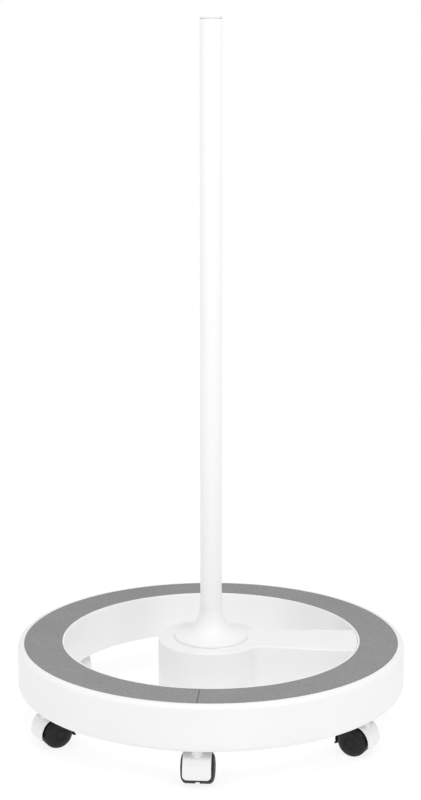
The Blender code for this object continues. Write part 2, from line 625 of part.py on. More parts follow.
def castors():
    hood, wheel, stem, socket, lever = hood_mesh(), wheel_mesh(), stem_mesh(), socket_mesh(), lever_mesh()
    axle = cylinder_mesh("castor_axle", AXLE_R, -AXLE_HALF_LENGTH, AXLE_HALF_LENGTH, 10)
    for number, (angle, heading) in enumerate(zip(castor_angles(), HOOD_HEADINGS), start=1):
        name = f"castor_{number}"
        swivel = bpy.data.objects.new(f"{name}_swivel", None)
        bpy.context.scene.collection.objects.link(swivel)
        swivel.location = on_circle(SWIVEL_CIRCLE_R, angle)
        swivel.rotation_euler = (0, 0, math.radians(heading))
        spin = bpy.data.objects.new(f"{name}_spin", None)
        bpy.context.scene.collection.objects.link(spin)
        spin.parent = swivel
        spin.location = (-CASTOR_TRAIL, 0, WHEEL_R)
        spin.rotation_euler = (-math.pi / 2, 0, 0)
        place(f"{name}_socket", socket, BUSH_PLASTIC, swivel)
        place(f"{name}_stem", stem, ZINC_STEEL, swivel)
        place(f"{name}_hood", hood, WHITE_SHELL, swivel)
        place(f"{name}_axle", axle, ZINC_STEEL, spin)
        place(f"{name}_wheel_left", wheel, BLACK_PLASTIC, spin)
        place(f"{name}_wheel_right", wheel, BLACK_PLASTIC, spin).rotation_euler = (math.pi, 0, 0)
        if number in LOCKING_CASTORS:
            place(f"{name}_lock_lever", lever, BLACK_PLASTIC, swivel)


def main():
    clear_scene()
    ring_shell()
    base_plate()
    plate_screws()
    ballast_ring()
    tread_inlays()
    hub_arm()
    hub_plate()
    arm_bolts()
    pole_tube()
    pole_collar()
    pole_foot()
    pole_bolt_and_washer()
    top_bush()
    castors()


main()
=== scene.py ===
"""The looks of a rolling lamp stand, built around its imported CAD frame.

Every length is in metres. The pole stands on the origin, +Z is up, and +X runs along the arm.
"""

import json
import math

import bmesh
import bpy
from mathutils import Matrix, Vector


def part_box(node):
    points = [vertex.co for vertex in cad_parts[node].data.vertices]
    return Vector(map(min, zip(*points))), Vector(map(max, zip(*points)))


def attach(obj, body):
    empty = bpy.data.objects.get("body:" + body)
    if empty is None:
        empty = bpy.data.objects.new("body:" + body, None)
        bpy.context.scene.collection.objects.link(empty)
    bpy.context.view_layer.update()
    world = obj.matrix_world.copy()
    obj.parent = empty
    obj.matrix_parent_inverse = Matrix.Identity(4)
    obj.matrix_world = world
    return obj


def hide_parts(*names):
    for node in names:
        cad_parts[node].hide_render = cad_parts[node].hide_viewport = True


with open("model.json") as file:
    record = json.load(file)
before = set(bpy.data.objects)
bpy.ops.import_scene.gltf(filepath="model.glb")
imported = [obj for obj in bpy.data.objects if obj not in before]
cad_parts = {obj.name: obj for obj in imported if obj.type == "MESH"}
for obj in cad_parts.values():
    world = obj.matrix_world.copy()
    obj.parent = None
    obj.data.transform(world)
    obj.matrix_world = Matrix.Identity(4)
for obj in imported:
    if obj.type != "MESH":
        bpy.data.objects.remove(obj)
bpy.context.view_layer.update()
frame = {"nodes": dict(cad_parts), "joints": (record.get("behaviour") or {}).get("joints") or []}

TAU = 2 * math.pi
IN_PLACE = Matrix.Identity(4)
TINY = 1e-6                     # points closer than this are one
SEAM = 0.00015                  # the line that shows where two fixed pieces meet
CLOSE_FIT = 0.00005             # the finer line under the collar's rim
OVERRUN = 0.003                 # how far a cutter runs past the face that it opens
LONG_OVERRUN = 0.01             # the same for the long bores in the castors
OVERLAP = 0.001                 # how deep one joined shape lies in the next
SMALL_ROUND = 0.0004            # rounding of edges that few will see
BEVEL_ANGLE = 32                # edges that turn by more degrees than this get a piece's bevel
SHARP_ANGLE = 40                # and without a bevel, edges that turn by more than this stay sharp

# Ring base
LIP_INSIDE = 0.0029             # from the tread's inner edge to the ring's inner wall
LIP_OUTSIDE = 0.0003            # from the tread's outer edge to its groove
RING_WALL = 0.003
RING_TOP_ROUND = 0.0065
RING_BOTTOM_ROUND = 0.008
RING_INNER_ROUND = 0.0012
RING_HOLLOW_ROUND = 0.002       # the corners inside, under the tread
RING_LOW_HOLLOW_ROUND = 0.004   # and the one above the lower rim
BOSS_R = 0.0055                 # screw bosses inside the ring
TREAD_ROUND = 0.0007
TREAD_JOINT = 0.0009            # open joint between the tread's two halves
SOCKET_HOLE_R = 0.0083          # in the base plate
SCREW_HOLE_R = 0.0021
SCREW_SHANK_R = 0.0016
SCREW_HEAD_ROUND = 0.0014
CROSS_HALF_WIDTH = 0.00045      # cross recess of the screws
CROSS_REACH = 0.0021
CROSS_DEPTH = 0.0013
SCREW_TURN = 37                 # degrees by which each screw is turned further than the one before

# Hub and arm
HUB_WALL = 0.004
HUB_BOSS_R = 0.016
HUB_EDGE = 0.0018
ARM_BOTTOM_Z = 0.050
ARM_HALF_WIDTH_AT_HUB = 0.034
ARM_HALF_WIDTH_AT_RING = 0.041
ARM_FULL_WIDTH_X = 0.158
ARM_FILLET_R = 0.016            # concave corner between hub and arm
ARM_END_WALL = 0.012
SPIGOT_DEPTH = 0.020            # of the pole's foot in the hub
POLE_BOLT_R = 0.005
POLE_BOLT_POINT = 0.001         # chamfer at its end
BOLT_CHAMFER_R = 0.96           # where the chamfer under its head starts, as a part of the half width
BOLT_CHAMFER_REACH = 1.2        # and how far out it is cut, as a part of the head's corner radius
BOLT_CHAMFER_HEIGHT = 0.0021    # and its height there

# Pole
POLE_WALL = 0.0015
POLE_TOP_ROUND = 0.0005
POLE_BORE_ROUND = 0.0003        # at the top, where the bush goes in
COLLAR_TOP_EDGE = 0.0002        # width of the flat top round the pole, and the flare starts this far below it
COLLAR_TOP_WIDTH = 0.0003       # from the bore to where the flare starts
COLLAR_RIM_HEIGHT = 0.0035
COLLAR_RIM_ROUND = 0.0016
COLLAR_THROAT = (0.0165, 0.020)     # radius and height to which the flare bends down from the pole
COLLAR_FLARE = (0.024, 0.008)       # and from which it runs out to the rim
COLLAR_HOLLOW_R = 0.0395            # the hollow underneath: where it starts,
COLLAR_HOLLOW_TOP = (0.020, 0.0085)     # radius and height of its shoulder,
COLLAR_HOLLOW_HEIGHT = 0.0125       # and its height at the pole
BUSH_RIM = 0.002
BUSH_EDGE = 0.0008

# Castors, drawn with the swivel axis at the origin on the floor and the hood facing +X
HOOD_CLEARANCE = 0.003          # from the wheels to the hood
HOOD_THICKNESS = 0.0017
HOOD_FRONT_ANGLE = -18.5        # degrees above the axle's level, on the stem side
HOOD_TAIL_ANGLE = 136
HOOD_CORNER_R = 0.0058          # rounded corners at both ends of the hood
WEB_HALF_THICKNESS = 0.0019     # the plate between the two wheels, made black as painted shade
WEB_BOSS_R = 0.0065
WEB_KEEL_R = 0.0175             # the plate's lower part, which closes the gap between the wheels with a black sheet of painted shade
WEB_KEEL_START_ANGLE = 216
WEB_INSET_ANGLE = 3             # from the hood's ends to the plate, and from the lever's ends to its rib
AXLE_BORE_R = 0.0023
AXLE_BORE_END = 0.0130          # the wheel's bore is blind
NECK_R = 0.007
NECK_START = 0.62               # the neck starts inside the hood, at this part of its radius above the axle
STEM_R = 0.004
STEM_END_ROUND = 0.001
STEM_GROOVE_FROM_TOP = 0.007
STEM_GROOVE_WIDTH = 0.002
STEM_GROOVE_DEPTH = 0.0007
SOCKET_SLEEVE_R = 0.008
SOCKET_FLANGE = 0.0015          # its thickness,
SOCKET_FLANGE_ROUNDS = (0.0005, 0.0001)     # and the rounding of its lower and its upper edge
WHEEL_SHOULDER_WIDTH = 0.0065
WHEEL_SHOULDER_DEPTH = 0.010
WHEEL_EDGE = 0.0008             # of its inner face
WHEEL_DISH_R = (0.0084, 0.0079)     # the dish in its outer face: rim and foot outside,
WHEEL_CENTRE_R = (0.0050, 0.0045)   # foot and rim inside,
WHEEL_DISH_DEPTH = 0.0007       # and its depth
WHEEL_CROWN_R = 0.0030          # the raised centre is flat inside this
WHEEL_CROWN_FALL = 0.0001       # and falls by this to its rim
LEVER_START_ANGLE = 141
LEVER_END_ANGLE = 198
LEVER_HALF_WIDTH = 0.013
LEVER_CORNER_R = 0.002
LEVER_LIP_R = 0.0258
LEVER_LIP_ANGLES = (5, 0.5)     # the lip starts and ends this far before the lever's end

# Stage
FLOOR_R = 30
FLOOR_GLOW = 0.85
SKY_FADE = (0.07, 0.20)         # two heights in the sky, with the horizon at 0 and the zenith at 1,
SKY_STRENGTH = (1.0, 0.64)      # between which it fades from the first strength to the second

# Facets
RING_STEPS = 288
HUB_STEPS = 160
POLE_STEPS = 128
BUSH_STEPS = 96
SMALL_STEPS = 48
BORE_STEPS = 32


# ---------------------------------------------------------------- the frame's measures

def reach(node):
    """The least and the greatest distance of a node's points from the pole's axis."""
    distances = [math.hypot(v.co.x, v.co.y) for v in frame["nodes"][node].data.vertices]
    return min(distances), max(distances)


def joint(name):
    return next(j for j in frame["joints"] if j["name"] == name)


def castor_numbers():
    return range(1, 1 + sum(name.endswith("_hood") for name in frame["nodes"]))


def castor_place(number):
    """The matrix of a castor, and the distance from its swivel axis back to its axle."""
    swivel = Vector(joint(f"castor_{number}_swivel")["pos_m"])
    axle = Vector(joint(f"castor_{number}_left_spin")["pos_m"])
    forward = Vector((swivel.x - axle.x, swivel.y - axle.y))
    heading = math.atan2(forward.y, forward.x)
    return Matrix.Translation((swivel.x, swivel.y, 0)) @ Matrix.Rotation(heading, 4, "Z"), forward.length


# ---------------------------------------------------------------- meshes

def arc(centre, radius, start, end, steps):
    """Points on an arc, from start to end in degrees."""
    angles = [math.radians(start + (end - start) * i / steps) for i in range(steps + 1)]
    return [(centre[0] + radius * math.cos(a), centre[1] + radius * math.sin(a)) for a in angles]


def bezier(p0, p1, p2, p3, steps):
    points = []
    for i in range(steps + 1):
        t = i / steps
        weights = ((1 - t) ** 3, 3 * t * (1 - t) ** 2, 3 * t * t * (1 - t), t ** 3)
        points.append(tuple(sum(w * p[k] for w, p in zip(weights, (p0, p1, p2, p3))) for k in (0, 1)))
    return points


def rounded(corners, steps=5):
    """A closed outline from (x, y, radius) corners, each rounded by an arc of its radius."""
    outline = []
    for i, (x, y, radius) in enumerate(corners):
        here = Vector((x, y))
        if not radius:
            outline.append((x, y))
            continue
        back = (Vector(corners[i - 1][:2]) - here).normalized()
        ahead = (Vector(corners[(i + 1) % len(corners)][:2]) - here).normalized()
        half = back.angle(ahead) / 2
        centre = here + (back + ahead).normalized() * radius / math.sin(half)
        ends = [here + way * radius / math.tan(half) - centre for way in (back, ahead)]
        start, end = (math.atan2(e.y, e.x) for e in ends)
        turn = (end - start + math.pi) % TAU - math.pi
        outline += arc(centre, radius, math.degrees(start), math.degrees(start + turn), steps)
    return outline


def mesh_from(bm, name):
    bmesh.ops.remove_doubles(bm, verts=bm.verts, dist=TINY)
    bmesh.ops.recalc_face_normals(bm, faces=bm.faces)
    mesh = bpy.data.meshes.new(name)
    bm.to_mesh(mesh)
    bm.free()
    return mesh


def turned(name, outline, steps, start=0.0, sweep=TAU):
    """A solid turned about Z from a closed (radius, z) outline. Less than a full sweep gets two flat ends."""
    bm = bmesh.new()
    full = sweep > TAU - TINY
    rings = []
    for i in range(steps if full else steps + 1):
        a = start + sweep * i / steps
        rings.append([bm.verts.new((r * math.cos(a), r * math.sin(a), z)) for r, z in outline])
    for i in range(steps):
        near, far = rings[i], rings[(i + 1) % len(rings)]
        for k in range(len(outline)):
            j = (k + 1) % len(outline)
            if outline[k][0] > TINY or outline[j][0] > TINY:
                bm.faces.new((near[k], far[k], far[j], near[j]))
    if not full:
        bm.faces.new(rings[0])
        bm.faces.new(rings[-1])
    return mesh_from(bm, name)


def extruded(name, outline, low, high, top_round=0.0):
    """An (x, y) outline raised from low to high, with an optional rounding round its top."""
    bm = bmesh.new()
    base = bm.faces.new([bm.verts.new((x, y, low)) for x, y in outline])
    raised = bmesh.ops.extrude_face_region(bm, geom=[base])["geom"]
    lid_points = [v for v in raised if isinstance(v, bmesh.types.BMVert)]
    bmesh.ops.translate(bm, vec=(0, 0, high - low), verts=lid_points)
    if top_round:
        rim = [e for e in bm.edges if all(abs(v.co.z - high) < TINY / 10 for v in e.verts)]
        bmesh.ops.bevel(bm, geom=rim, offset=top_round, segments=5, profile=0.5, affect="EDGES")
    return mesh_from(bm, name)


def side_plate(name, outline, half_thickness):
    """A castor's (x, z) side outline, made half_thickness thick on both sides of its middle."""
    mesh = extruded(name, outline, -half_thickness, half_thickness)
    mesh.transform(Matrix.Rotation(math.pi / 2, 4, "X"))
    return mesh


def cylinder(name, radius, low, high, steps=SMALL_STEPS):
    """A cylinder about Z, turned by half a facet."""
    return turned(name, [(0, low), (radius, low), (radius, high), (0, high)], steps, math.pi / steps)


def combined(name, mesh, joins=(), cuts=()):
    """The mesh with each (mesh, matrix) of joins added to it and then each of cuts taken away."""
    base = bpy.data.objects.new(name, mesh)
    bpy.context.scene.collection.objects.link(base)
    tools = []
    for operation, group in (("UNION", joins), ("DIFFERENCE", cuts)):
        for tool_mesh, matrix in group:
            tool = bpy.data.objects.new("tool", tool_mesh)
            bpy.context.scene.collection.objects.link(tool)
            tool.matrix_world = matrix
            modifier = base.modifiers.new("shape", "BOOLEAN")
            modifier.operation = operation
            modifier.solver = "EXACT"
            modifier.object = tool
            tools.append(tool)
    bpy.context.view_layer.update()
    made = bpy.data.meshes.new_from_object(base.evaluated_get(bpy.context.evaluated_depsgraph_get()))
    for gone in (base, *tools):
        bpy.data.objects.remove(gone, do_unlink=True)
    made.name = name
    return made


def piece(name, mesh, slot, body, stands_for, matrix=IN_PLACE, bevel=0.0):
    """A finished piece that rides on a body and stands for a CAD node, or for a part of one."""
    obj = bpy.data.objects.new(name, mesh)
    bpy.context.scene.collection.objects.link(obj)
    obj.matrix_world = matrix
    mesh.shade_smooth()
    if not mesh.materials:
        mesh.materials.append(MATERIALS[slot])
    if bevel:
        edge = obj.modifiers.new("edges", "BEVEL")
        edge.width = bevel
        edge.segments = 3
        edge.limit_method = "ANGLE"
        edge.angle_limit = math.radians(BEVEL_ANGLE)
    else:
        mesh.set_sharp_from_angle(angle=math.radians(SHARP_ANGLE))
    normals = obj.modifiers.new("flat_faces", "WEIGHTED_NORMAL")
    normals.keep_sharp = True
    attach(obj, body)
    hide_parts(stands_for)


# ---------------------------------------------------------------- materials

class Finish:
    """A Principled material that is built node by node, in the piece's own coordinates."""

    def __init__(self, name, roughness, metallic=0.0, specular=0.5):
        self.material = bpy.data.materials.new(name)
        self.material.use_nodes = True
        self.tree = self.material.node_tree
        self.shader = self.tree.nodes["Principled BSDF"]
        self.shader.inputs["Roughness"].default_value = roughness
        self.shader.inputs["Metallic"].default_value = metallic
        self.shader.inputs["Specular IOR Level"].default_value = specular
        self.place = self.node("ShaderNodeTexCoord").outputs["Object"]
        self.height = None

    def node(self, kind, **settings):
        made = self.tree.nodes.new(kind)
        for key, value in settings.items():
            setattr(made, key, value)
        return made

    def link(self, source, target):
        self.tree.links.new(source, target)

    def stretched(self, scale):
        """The piece's coordinates, stretched by (x, y, z)."""
        mapping = self.node("ShaderNodeMapping")
        mapping.inputs["Scale"].default_value = scale
        self.link(self.place, mapping.inputs["Vector"])
        return mapping.outputs["Vector"]

    def noise(self, scale, detail=2.0, place=None):
        made = self.node("ShaderNodeTexNoise")
        made.inputs["Scale"].default_value = scale
        made.inputs["Detail"].default_value = detail
        self.link(place or self.place, made.inputs["Vector"])
        return made.outputs["Fac"]

    def cells(self, scale, output="Distance"):
        made = self.node("ShaderNodeTexVoronoi")
        made.inputs["Scale"].default_value = scale
        self.link(self.place, made.inputs["Vector"])
        return made.outputs[output]

    def between(self, value, low, high, to_low, to_high):
        """The value's range from low to high, spread over to_low to to_high."""
        made = self.node("ShaderNodeMapRange")
        for key, number in zip(("From Min", "From Max", "To Min", "To Max"), (low, high, to_low, to_high)):
            made.inputs[key].default_value = number
        self.link(value, made.inputs["Value"])
        return made.outputs["Result"]

    def maths(self, operation, a, b):
        made = self.node("ShaderNodeMath", operation=operation)
        for socket, source in zip(made.inputs, (a, b)):
            if isinstance(source, (int, float)):
                socket.default_value = source
            else:
                self.link(source, socket)
        return made.outputs["Value"]

    def blend(self, factor, first, second):
        """A colour that goes from first to second. Each is a colour or a socket."""
        made = self.node("ShaderNodeMix", data_type="RGBA")
        self.link(factor, made.inputs["Factor"])
        sockets = [s for s in made.inputs if s.type == "RGBA"]
        for socket, source in zip(sockets, (first, second)):
            if isinstance(source, tuple):
                socket.default_value = (*source, 1.0)
            else:
                self.link(source, socket)
        return next(s for s in made.outputs if s.type == "RGBA")

    def colour(self, source):
        self.link(source, self.shader.inputs["Base Color"])

    def roughness(self, source):
        self.link(source, self.shader.inputs["Roughness"])

    def relief(self, height, depth, strength):
        """Adds a bump whose height is depth metres deep. Later calls lie on top of earlier ones."""
        bump = self.node("ShaderNodeBump")
        bump.inputs["Strength"].default_value = strength
        bump.inputs["Distance"].default_value = depth
        self.link(height, bump.inputs["Height"])
        if self.height:
            self.link(self.height, bump.inputs["Normal"])
        self.height = bump.outputs["Normal"]
        self.link(self.height, self.shader.inputs["Normal"])

    def part_of_place(self, axis):
        split = self.node("ShaderNodeSeparateXYZ")
        self.link(self.place, split.inputs["Vector"])
        return split.outputs[axis]


def grey(level):
    return (level, level, level)


def white_shell():
    """Moulded white plastic: fine spark grain, slow waviness, faint rub marks and a little dust low down."""
    finish = Finish("white_shell", 0.4)
    tone = finish.between(finish.noise(7, 3), 0.3, 0.7, 0, 1)
    clean = finish.blend(tone, grey(0.855), grey(0.885))
    speck = finish.between(finish.noise(950, 1), 0.62, 0.8, 0, 0.35)
    specked = finish.blend(speck, clean, grey(0.79))
    low_down = finish.between(finish.part_of_place("Z"), 0.065, 0.045, 0, 0.30)
    patches = finish.between(finish.noise(38, 4), 0.42, 0.75, 0, 1)
    finish.colour(finish.blend(finish.maths("MULTIPLY", low_down, patches), specked, (0.76, 0.75, 0.73)))
    rubbed = finish.between(finish.noise(55, 5, finish.stretched((1, 1, 7))), 0.35, 0.75, 0.36, 0.50)
    finish.roughness(rubbed)
    finish.relief(finish.noise(22, 2), 0.0006, 0.10)
    finish.relief(finish.noise(1100, 2), 0.00008, 0.35)
    return finish.material


def white_paint():
    """White powder coat on steel: orange peel, even sheen, and faint lengthwise wipe marks."""
    finish = Finish("white_paint", 0.3)
    tone = finish.between(finish.noise(5, 3, finish.stretched((1, 1, 0.25))), 0.3, 0.7, 0, 1)
    coat = finish.blend(tone, grey(0.865), grey(0.895))
    speck = finish.between(finish.noise(1300, 1), 0.64, 0.8, 0, 0.3)
    finish.colour(finish.blend(speck, coat, grey(0.78)))
    wipes = finish.noise(120, 4, finish.stretched((1, 1, 0.06)))
    finish.roughness(finish.between(wipes, 0.3, 0.7, 0.26, 0.38))
    finish.relief(finish.noise(420, 2), 0.00012, 0.30)
    return finish.material


def grey_tread():
    """Grey rubber with a close pebbled grain, paler rubbed patches and a few dark specks."""
    finish = Finish("grey_tread", 0.85, specular=0.3)
    tone = finish.between(finish.noise(16, 4), 0.3, 0.7, 0, 1)
    rubber = finish.blend(tone, grey(0.315), grey(0.355))
    pebbles = finish.cells(620)
    grain = finish.between(pebbles, 0.05, 0.75, 0.0, 0.8)
    grained = finish.blend(grain, rubber, grey(0.21))
    speck = finish.between(finish.noise(800, 2), 0.60, 0.72, 0, 0.55)
    finish.colour(finish.blend(speck, grained, grey(0.42)))
    finish.roughness(finish.between(finish.noise(90, 4), 0.3, 0.7, 0.74, 0.92))
    finish.relief(finish.noise(210, 3), 0.0003, 0.35)
    finish.relief(finish.between(pebbles, 0, 1, 1, 0), 0.00035, 0.6)
    return finish.material


def black_plastic():
    """Black nylon with a matt grain and grey scuffs where it rubs. On the castors' web the black is painted
    shade, standing for the shadow in the gap between the wheels.
    """
    finish = Finish("black_plastic", 0.45, specular=0.28)
    scuffs = finish.between(finish.noise(260, 5, finish.stretched((1, 1, 3))), 0.56, 0.74, 0, 0.5)
    base = finish.blend(finish.noise(60, 3), grey(0.0075), grey(0.0125))
    finish.colour(finish.blend(scuffs, base, (0.032, 0.031, 0.030)))
    finish.roughness(finish.between(finish.noise(180, 4), 0.3, 0.7, 0.38, 0.62))
    finish.relief(finish.noise(1400, 2), 0.00006, 0.4)
    finish.relief(finish.noise(90, 2), 0.0002, 0.12)
    return finish.material


def bush_plastic():
    """Natural nylon: a warmer white than the shells, slightly waxy."""
    finish = Finish("bush_plastic", 0.45)
    finish.shader.inputs["Subsurface Weight"].default_value = 0.08
    finish.shader.inputs["Subsurface Scale"].default_value = 0.002
    tone = finish.between(finish.noise(90, 3), 0.3, 0.7, 0, 1)
    finish.colour(finish.blend(tone, (0.74, 0.735, 0.715), (0.79, 0.788, 0.775)))
    finish.roughness(finish.between(finish.noise(300, 3), 0.3, 0.7, 0.38, 0.54))
    finish.relief(finish.noise(900, 2), 0.00005, 0.35)
    return finish.material


def cast_iron():
    """Rough grey iron with patches of rust."""
    finish = Finish("cast_iron", 0.75, metallic=1.0)
    rust = finish.between(finish.noise(45, 5), 0.55, 0.75, 0, 0.7)
    iron = finish.blend(finish.noise(300, 3), grey(0.07), grey(0.14))
    finish.colour(finish.blend(rust, iron, (0.16, 0.085, 0.05)))
    finish.roughness(finish.between(finish.noise(150, 4), 0.3, 0.7, 0.62, 0.9))
    finish.relief(finish.noise(420, 4), 0.0006, 0.6)
    return finish.material


def zinc_steel():
    """Zinc-plated steel: soft crystals in the plating, fine rolling lines and dull patches."""
    finish = Finish("zinc_steel", 0.35, metallic=1.0)
    crystals = finish.cells(140, output="Color")
    tone = finish.blend(finish.noise(30, 4), (0.56, 0.565, 0.58), (0.68, 0.68, 0.685))
    shimmer = finish.node("ShaderNodeSeparateColor")
    finish.link(crystals, shimmer.inputs["Color"])
    soft = finish.between(shimmer.outputs["Red"], 0, 1, 0, 0.22)
    finish.colour(finish.blend(soft, tone, (0.47, 0.475, 0.49)))
    lines = finish.noise(60, 3, finish.stretched((1, 14, 1)))
    finish.roughness(finish.between(lines, 0.3, 0.7, 0.28, 0.46))
    finish.relief(lines, 0.00008, 0.25)
    return finish.material


MATERIALS = {make.__name__: make() for make in (
    white_shell, white_paint, grey_tread, black_plastic, bush_plastic, cast_iron, zinc_steel)}


def keep_node(node, slot):
    """A CAD node whose own shape shows, with a finished material."""
    for material_slot in frame["nodes"][node].material_slots:
        material_slot.material = MATERIALS[slot]


# ---------------------------------------------------------------- ring base

def ring_shell():
    """The white ring: two walls, a groove on top for the tread, and screw bosses inside."""
    low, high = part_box("ring_shell")
    outer, top, bottom = high.x, high.z, low.z
    tread_inner, tread_outer = reach("inlay_left")
    inner = tread_inner - LIP_INSIDE
    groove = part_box("inlay_left")[0].z - LIP_OUTSIDE
    groove_outer, groove_inner = tread_outer + LIP_OUTSIDE / 2, tread_inner - LIP_OUTSIDE / 2
    roof = groove - RING_WALL
    inside_bottom = outer - RING_BOTTOM_ROUND
    outline = rounded([
        (groove_outer, groove, 0), (groove_outer, top, TREAD_ROUND), (outer, top, RING_TOP_ROUND),
        (outer, bottom, RING_BOTTOM_ROUND - SMALL_ROUND), (inside_bottom, bottom, SMALL_ROUND),
        (inside_bottom, bottom + RING_WALL, 0),
        (outer - RING_WALL, bottom + RING_BOTTOM_ROUND, RING_LOW_HOLLOW_ROUND),
        (outer - RING_WALL, roof, RING_HOLLOW_ROUND), (inner + RING_WALL, roof, RING_HOLLOW_ROUND),
        (inner + RING_WALL, bottom, SMALL_ROUND), (inner, bottom, RING_INNER_ROUND),
        (inner, top, RING_INNER_ROUND), (groove_inner, top, SMALL_ROUND), (groove_inner, groove, 0)])
    shell = turned("ring_shell_fine", outline, RING_STEPS)
    plate_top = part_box("base_plate")[1].z
    post = cylinder("boss", BOSS_R, plate_top + SEAM, roof + RING_WALL / 2, BORE_STEPS)
    posts = [(post, screw_place(number)) for number in screw_numbers()]
    piece("ring_shell_fine", combined("ring_shell_fine", shell, posts), "white_shell", "base", "ring_shell")


def screw_numbers():
    return range(1, 1 + sum(name.startswith("plate_screw_") for name in frame["nodes"]))


def screw_place(number):
    """The matrix that puts a plate screw's axis, drawn on the pole's, in its own place."""
    low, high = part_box(f"plate_screw_{number}")
    return Matrix.Translation(((low.x + high.x) / 2, (low.y + high.y) / 2, 0))


def tread_halves():
    """The two grey half rings in the groove, with a joint at the front and one at the back."""
    for node, middle in (("inlay_right", 0.0), ("inlay_left", math.pi)):
        low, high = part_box(node)
        inner, outer = reach(node)
        outline = rounded([(inner, low.z, 0), (outer, low.z, 0), (outer, high.z, TREAD_ROUND),
                           (inner, high.z, TREAD_ROUND)])
        sweep = math.pi - 2 * TREAD_JOINT / (inner + outer)
        mesh = turned(f"{node}_fine", outline, RING_STEPS // 2, middle - sweep / 2, sweep)
        piece(f"{node}_fine", mesh, "grey_tread", "base", node)


def base_plate():
    """The steel ring that closes the shell from below, with holes for castor sockets and screws."""
    low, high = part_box("base_plate")
    inner, outer = reach("base_plate")
    outline = [(inner, low.z), (outer, low.z), (outer, high.z), (inner, high.z)]
    plate = turned("base_plate_fine", outline, RING_STEPS)
    socket_hole = cylinder("hole", SOCKET_HOLE_R, low.z - OVERRUN, high.z + OVERRUN)
    screw_hole = cylinder("hole", SCREW_HOLE_R, low.z - OVERRUN, high.z + OVERRUN, SMALL_STEPS // 2)
    holes = [(socket_hole, castor_place(number)[0]) for number in castor_numbers()]
    holes += [(screw_hole, screw_place(number)) for number in screw_numbers()]
    mesh = combined("base_plate_fine", plate, cuts=holes)
    piece("base_plate_fine", mesh, "zinc_steel", "base", "base_plate", bevel=SMALL_ROUND)


def plate_screws():
    """Pan-head screws with a cross recess."""
    low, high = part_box("plate_screw_1")
    head_r, seat = (high.x - low.x) / 2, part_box("base_plate")[0].z - SEAM
    outline = rounded([(0, low.z, 0), (head_r, low.z, SCREW_HEAD_ROUND), (head_r, seat, SMALL_ROUND / 2),
                       (SCREW_SHANK_R, seat, 0), (SCREW_SHANK_R, high.z - SCREW_SHANK_R, 0), (0, high.z, 0)])
    screw = turned("plate_screw", outline, SMALL_STEPS)
    across, half = CROSS_REACH, CROSS_HALF_WIDTH
    flat = [(-across, -half), (across, -half), (across, half), (-across, half)]
    slot = extruded("slot", flat, low.z - OVERLAP, low.z + CROSS_DEPTH)
    cross = [(slot, Matrix.Rotation(turn, 4, "Z")) for turn in (0, math.pi / 2)]
    mesh = combined("plate_screw", screw, cuts=cross)
    for number in screw_numbers():
        turn = Matrix.Rotation(math.radians(SCREW_TURN * number), 4, "Z")
        piece(f"plate_screw_{number}_fine", mesh, "zinc_steel", "base", f"plate_screw_{number}",
              screw_place(number) @ turn)


# ---------------------------------------------------------------- hub and arm

def arm_half_width(x, start_x):
    """Half the arm's width at x: it widens smoothly from the hub to the ring."""
    t = min(1.0, max(0.0, (x - start_x) / (ARM_FULL_WIDTH_X - start_x)))
    return ARM_HALF_WIDTH_AT_HUB + (ARM_HALF_WIDTH_AT_RING - ARM_HALF_WIDTH_AT_HUB) * t * t * (3 - 2 * t)


def hub_outline(hub_r, end_r, inset=0.0):
    """The plan of hub and arm, anticlockwise from the arm's end, and the angle of the corner between them."""
    centre_y = ARM_HALF_WIDTH_AT_HUB + ARM_FILLET_R
    centre_x = math.sqrt((hub_r + ARM_FILLET_R) ** 2 - centre_y ** 2)
    meet = math.degrees(math.atan2(centre_y, centre_x))
    half_end = ARM_HALF_WIDTH_AT_RING - inset
    end_angle = math.degrees(math.asin(half_end / end_r))
    end_x = end_r * math.cos(math.radians(end_angle))
    side, side_steps = [], 24
    for i in range(1, side_steps):
        x = centre_x + (end_x - centre_x) * i / side_steps
        side.append((x, arm_half_width(x, centre_x) - inset))
    left = arc((0, 0), end_r, 0, end_angle, 12)[1:] + side[::-1]
    left += arc((centre_x, centre_y), ARM_FILLET_R + inset, -90, meet - 180, 16)
    left += arc((0, 0), hub_r - inset, meet, 180, HUB_STEPS // 3)[1:]
    right = [(x, -y) for x, y in left[:-1]][::-1]
    return left + right + [(end_r, 0.0)], meet


def hub_arm():
    """Hub and arm in one casting, hollow from below, with a boss inside that takes the pole's foot."""
    low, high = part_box("hub_arm")
    hub_r, bottom, top = -low.x, low.z, high.z
    ring_bore = reach("inlay_left")[0] - LIP_INSIDE
    outline, meet = hub_outline(hub_r, ring_bore - SEAM)
    body = extruded("hub_arm_fine", outline, bottom, top, HUB_EDGE)
    beyond_ring = 1.2 * ring_bore
    under = arc((0, 0), hub_r, -meet, meet, 40) + arc((0, 0), beyond_ring, meet, -meet, 8)
    hollow, _ = hub_outline(hub_r, ring_bore - ARM_END_WALL, HUB_WALL)
    plate_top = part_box("hub_plate")[1].z
    cuts = [(extruded("under_arm", under, bottom - OVERRUN, ARM_BOTTOM_Z), IN_PLACE),
            (extruded("hollow", hollow, bottom - OVERRUN, top - HUB_WALL), IN_PLACE)]
    shell = combined("hub_arm_fine", body, cuts=cuts)
    boss = cylinder("boss", HUB_BOSS_R, plate_top + SEAM, top - HUB_WALL / 2)
    spigot = cylinder("spigot", reach("pole_foot")[1], top - SPIGOT_DEPTH, top + OVERRUN)
    whole = combined("hub_arm_fine", shell, [(boss, IN_PLACE)], [(spigot, IN_PLACE)])
    piece("hub_arm_fine", whole, "white_shell", "base", "hub_arm")


def flat_ring(node):
    """A steel plate or washer with a round hole, as its CAD node says."""
    low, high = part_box(node)
    inner, outer = reach(node)
    outline = [(inner, low.z), (outer, low.z), (outer, high.z), (inner, high.z)]
    mesh = turned(f"{node}_fine", outline, BUSH_STEPS)
    piece(f"{node}_fine", mesh, "zinc_steel", "base", node, bevel=SMALL_ROUND)


